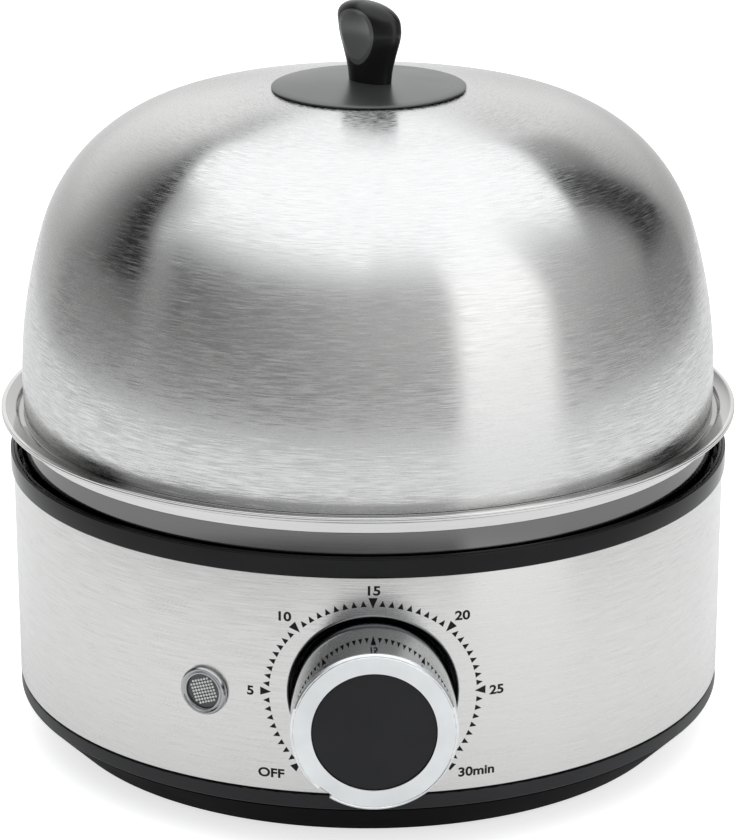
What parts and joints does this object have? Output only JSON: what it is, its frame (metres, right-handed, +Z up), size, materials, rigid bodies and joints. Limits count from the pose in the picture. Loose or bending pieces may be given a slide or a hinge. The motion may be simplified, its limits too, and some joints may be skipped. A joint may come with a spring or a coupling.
{
  "type": "electric egg cooker",
  "caption": "Round steel-clad egg cooker with a wind-up timer knob, pilot lamp, flared water pan, lift-out egg rack and a tall domed lid with a flattened top grip.",
  "frame": {"origin": "on the axis of the round body, at the floor that the foot ring stands on", "axes": "+Z up, the dial faces -Y, +X to the right of someone who looks at the dial"},
  "size_m": [0.19, 0.2088, 0.1913],
  "materials": {
    "housing_plastic": "fine satin moulded",
    "foot_rubber": "matt",
    "band_steel": "brushed round the body",
    "lid_steel": "brushed round the dome",
    "collar_plastic": "satin",
    "pan_steel": "polished",
    "screw_steel": "zinc plated",
    "plate_aluminium": "cast",
    "element_steel": "dull oxidised",
    "switch_resin": "moulded resin",
    "fuse_ceramic": "plain",
    "clip_steel": "spring steel",
    "cup_plastic": "satin",
    "knob_plastic": "glossy",
    "knob_chrome": "bright polished",
    "knob_disc": "satin",
    "clockwork_steel": "plain plated",
    "clockwork_brass": "stamped and turned",
    "spring_steel": "blued",
    "bell_steel": "plated",
    "lamp_chrome": "bright polished",
    "lens_plastic": "clear with a waffle pattern",
    "lamp_glass": "clear",
    "gland_plastic": "satin",
    "lead_sleeve": "woven sleeve",
    "rack_aluminium": "satin",
    "handle_wire": "bright wire",
    "disc_plastic": "satin",
    "grip_plastic": "glossy",
    "pad_rubber": "satin"
  },
  "bodies": {
    "base": {"lower_housing": "housing_plastic", "bottom_cover": "housing_plastic", "cover_screws": "screw_steel", "foot_ring": "foot_rubber", "steel_band": "band_steel", "top_collar": "collar_plastic", "heating_pan": "pan_steel", "pan_studs": "screw_steel", "clamp_screws": "screw_steel", "heater_plate": "plate_aluminium", "heating_element": "element_steel", "thermostat": "switch_resin", "thermal_fuse": "fuse_ceramic", "fuse_clip": "clip_steel", "heater_screws": "screw_steel", "dial_cup": "cup_plastic", "timer_bracket": "clockwork_steel", "bracket_screws": "screw_steel", "timer_screws": "screw_steel", "timer_pillars": "clockwork_brass", "timer_back_plate": "clockwork_steel", "switch_block": "switch_resin", "switch_contacts": "clockwork_brass", "timer_bell": "bell_steel", "bell_post": "clockwork_brass", "striker_pin": "screw_steel", "indicator_bezel": "lamp_chrome", "indicator_lens": "lens_plastic", "neon_lamp": "lamp_glass", "lamp_clip": "clip_steel", "cord_gland": "gland_plastic", "gland_nut": "gland_plastic", "terminal_block": "switch_resin", "supply_lead": "lead_sleeve", "heater_lead": "lead_sleeve", "switch_lead": "lead_sleeve", "return_lead": "lead_sleeve", "lamp_lead_left": "lead_sleeve", "lamp_lead_right": "lead_sleeve"},
    "rack": {"egg_rack": "rack_aluminium", "rack_handle_left": "handle_wire", "rack_handle_right": "handle_wire"},
    "lid": {"lid_dome": "lid_steel", "lid_disc": "disc_plastic", "lid_handle": "grip_plastic", "thumb_pad": "pad_rubber", "handle_washer": "screw_steel", "handle_screw": "screw_steel"},
    "knob": {"knob_core": "knob_plastic", "knob_ring": "knob_chrome", "knob_face": "knob_disc", "timer_shaft": "clockwork_steel", "timer_cam": "clockwork_brass", "spring_barrel": "clockwork_brass", "mainspring": "spring_steel", "main_wheel": "clockwork_brass"},
    "governor": {"governor_pinion": "clockwork_brass", "governor_wheel": "clockwork_brass"},
    "striker": {"bell_striker": "bell_steel"}
  },
  "joints": [
    {"name": "rack_lift", "type": "slide", "parent": "base", "child": "rack", "axis": [0, 0, 1], "range_m": [0, 0.12]},
    {"name": "lid_lift", "type": "slide", "parent": "rack", "child": "lid", "axis": [0, 0, 1], "range_m": [0, 0.2]},
    {"name": "knob_turn", "type": "hinge", "parent": "base", "child": "knob", "pos_m": [0, -0.09, 0.0418], "axis": [0, 1, 0], "range_deg": [0, 270]},
    {"name": "governor_spin", "type": "hinge", "parent": "base", "child": "governor", "pos_m": [0.01131, -0.07, 0.03049], "axis": [0, 1, 0], "range_deg": [-812, 2]},
    {"name": "striker_swing", "type": "hinge", "parent": "base", "child": "striker", "pos_m": [0.014, -0.059, 0.0338], "axis": [0, -1, 0], "range_deg": [0, 10.4], "stiffness_Nm_per_rad": 0.005}
  ],
  "couplings": [
    {"joint": "governor_spin", "follows": "knob_turn", "ratio": -3}
  ]
}
